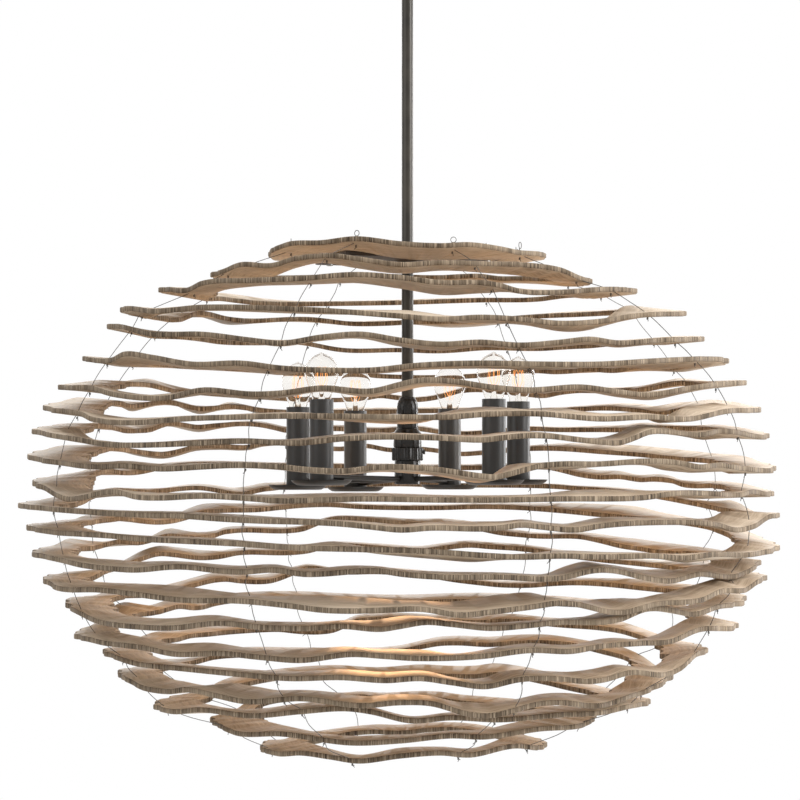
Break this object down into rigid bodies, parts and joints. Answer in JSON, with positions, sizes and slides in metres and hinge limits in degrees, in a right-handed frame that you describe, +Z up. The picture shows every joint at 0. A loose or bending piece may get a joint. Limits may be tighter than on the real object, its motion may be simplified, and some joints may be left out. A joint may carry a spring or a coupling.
{
  "type": "orb chandelier",
  "caption": "Globe-shaped chandelier of stacked wavy wooden board rings on steel wires, with a ring of candle lamps on a central stem under a ball-swivel ceiling canopy.",
  "frame": {"origin": "centre of the canopy's ceiling face", "axes": "+Z up, the front that the picture shows looks along -Y, +X to the right in that view"},
  "size_m": [1.0237, 1.0311, 1.1008],
  "materials": {
    "limed_wood": "limed and weathered, rough sawn edges",
    "dark_wood": "dark stained",
    "bronze": "satin dark bronze",
    "dark_metal": "satin black",
    "charcoal": "matt charcoal",
    "black_gloss": "gloss black",
    "steel": "zinc plated",
    "wire_steel": "dull dark steel",
    "nylon": "natural nylon",
    "brass": "plain",
    "filament": "glowing carbon filament",
    "glass": "clear"
  },
  "bodies": {
    "ceiling_mount": {"mounting_strap": "steel", "canopy": "bronze", "canopy_screws": "steel", "canopy_cap_nuts": "bronze", "swivel_seat": "bronze"},
    "liner": {"swivel_liner": "nylon"},
    "ball": {"swivel_ball": "bronze"},
    "chandelier": {"stem_lock_nut": "steel", "stem": "bronze", "stem_collar": "bronze", "collar_screw": "steel", "carrier_board": "dark_wood", "carrier_screws": "steel", "hanger_wires": "wire_steel", "hub_bell_cap": "black_gloss", "hub_neck": "black_gloss", "hub_body": "black_gloss", "hub_ribbed_ring": "black_gloss", "hub_lower_shell": "black_gloss", "hub_bottom_cover": "black_gloss", "lamp_arms": "dark_metal", "drip_dishes": "dark_metal", "candle_sleeves": "charcoal", "lampholder_posts": "steel", "lampholders": "brass", "bulb_caps": "brass", "bulb_glasses": "glass", "bulb_stems": "glass", "bulb_filaments": "filament", "ring_board_01": "limed_wood", "ring_board_02": "limed_wood", "ring_board_03": "limed_wood", "ring_board_04": "limed_wood", "ring_board_05": "limed_wood", "ring_board_06": "limed_wood", "ring_board_07": "limed_wood", "ring_board_08": "limed_wood", "ring_board_09": "limed_wood", "ring_board_10": "limed_wood", "ring_board_11": "limed_wood", "ring_board_12": "limed_wood", "ring_board_13": "limed_wood", "ring_board_14": "limed_wood", "ring_board_15": "limed_wood", "ring_board_16": "limed_wood", "ring_board_17": "limed_wood", "ring_board_18": "limed_wood", "ring_board_19": "limed_wood", "ring_board_20": "limed_wood", "ring_board_21": "limed_wood", "ring_board_22": "limed_wood"},
    "knob": {"hub_knob": "black_gloss"}
  },
  "joints": [
    {"name": "swivel_tilt_x", "type": "hinge", "parent": "ceiling_mount", "child": "liner", "pos_m": [0, 0, -0.027], "axis": [1, 0, 0], "range_deg": [-12, 12]},
    {"name": "swivel_tilt_y", "type": "hinge", "parent": "liner", "child": "ball", "pos_m": [0, 0, -0.027], "axis": [0, 1, 0], "range_deg": [-12, 12]},
    {"name": "stem_turn", "type": "hinge", "parent": "ball", "child": "chandelier", "pos_m": [0, 0, -0.027], "axis": [0, 0, 1], "range_deg": [-90, 90]},
    {"name": "knob_turn", "type": "hinge", "parent": "chandelier", "child": "knob", "pos_m": [0.021, 0, -0.684], "axis": [1, 0, 0], "range_deg": [0, 90]}
  ]
}
